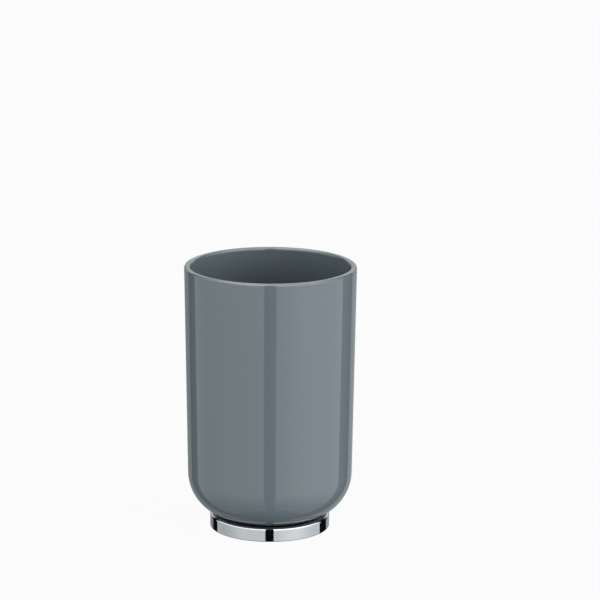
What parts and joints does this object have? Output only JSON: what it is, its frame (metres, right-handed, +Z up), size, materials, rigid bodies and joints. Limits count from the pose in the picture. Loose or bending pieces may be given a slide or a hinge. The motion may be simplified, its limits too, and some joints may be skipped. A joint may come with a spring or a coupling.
{
  "type": "toothbrush cup",
  "caption": "Free-standing bathroom tumbler: gloss grey moulded cup with rounded lip and lower corner, on a short chrome-plated foot with a non-slip pad.",
  "frame": {"origin": "centre of the pad's resting face, on the surface that the cup stands on", "axes": "+Z up along the cup's axis, towards its open mouth; -Y towards the picture's camera, +X to its right"},
  "size_m": [0.07, 0.07, 0.11],
  "materials": {
    "cup_plastic": "high-gloss moulded plastic, mid grey with a slight blue cast",
    "foot_chrome": "mirror-bright chrome plating",
    "screw_steel": "zinc-plated steel",
    "pad_rubber": "matt black rubber with round grooves"
  },
  "bodies": {
    "root": {"tumbler_body": "cup_plastic", "plated_foot": "foot_chrome", "foot_screw_1": "screw_steel", "foot_screw_2": "screw_steel", "foot_screw_3": "screw_steel", "non_slip_pad": "pad_rubber"}
  },
  "joints": []
}
